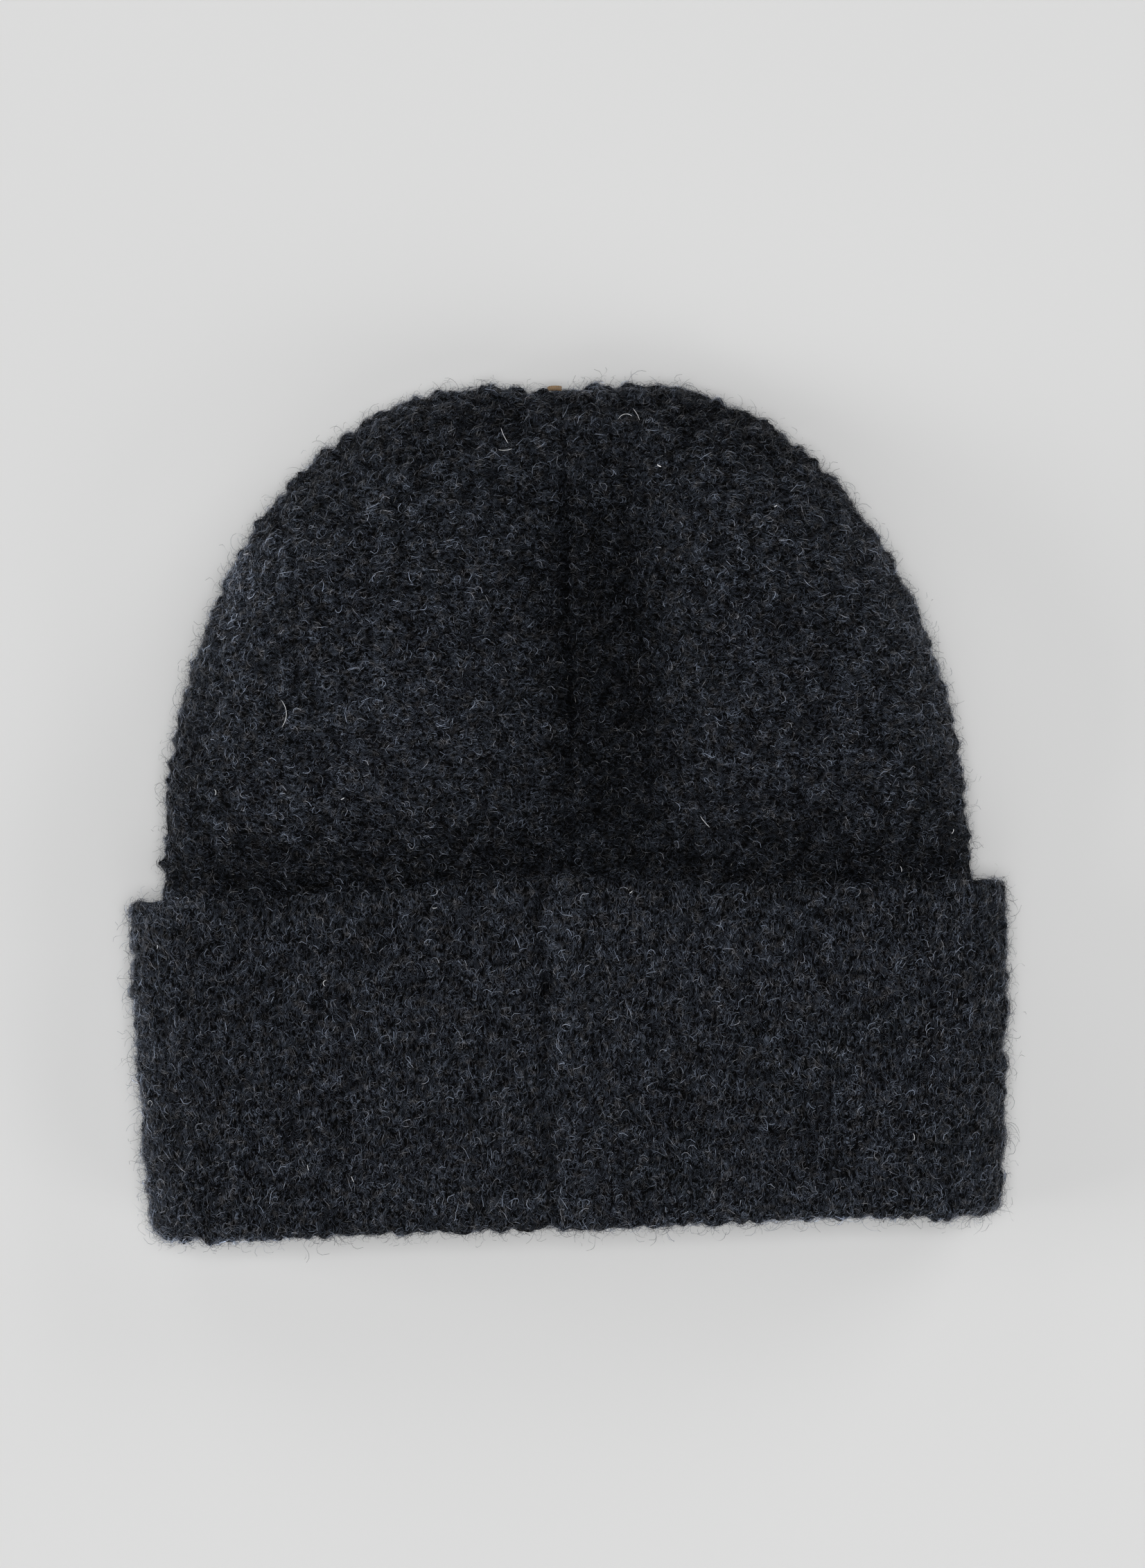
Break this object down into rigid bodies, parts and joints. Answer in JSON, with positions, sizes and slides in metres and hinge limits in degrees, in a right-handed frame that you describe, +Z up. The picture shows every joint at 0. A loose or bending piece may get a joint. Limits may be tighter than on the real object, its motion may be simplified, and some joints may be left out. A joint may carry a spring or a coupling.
{
  "type": "beanie",
  "caption": "Cuffed beanie in thick boucle knit, lying flat, with a deep turned-up cuff, a soft domed crown and a seam down the middle.",
  "frame": {"origin": "centre of the lying hat's outline, on the surface that it lies on", "axes": "+Z up from the surface, +Y from the rim to the crown, +X across the hat"},
  "size_m": [0.238, 0.2296, 0.041],
  "materials": {
    "boucle_knit": "black curled boucle yarn, hairy and matt",
    "gathering_thread": "tan twisted sewing thread"
  },
  "bodies": {
    "root": {"crown": "boucle_knit", "cuff": "boucle_knit", "gather_thread": "gathering_thread"}
  },
  "joints": []
}
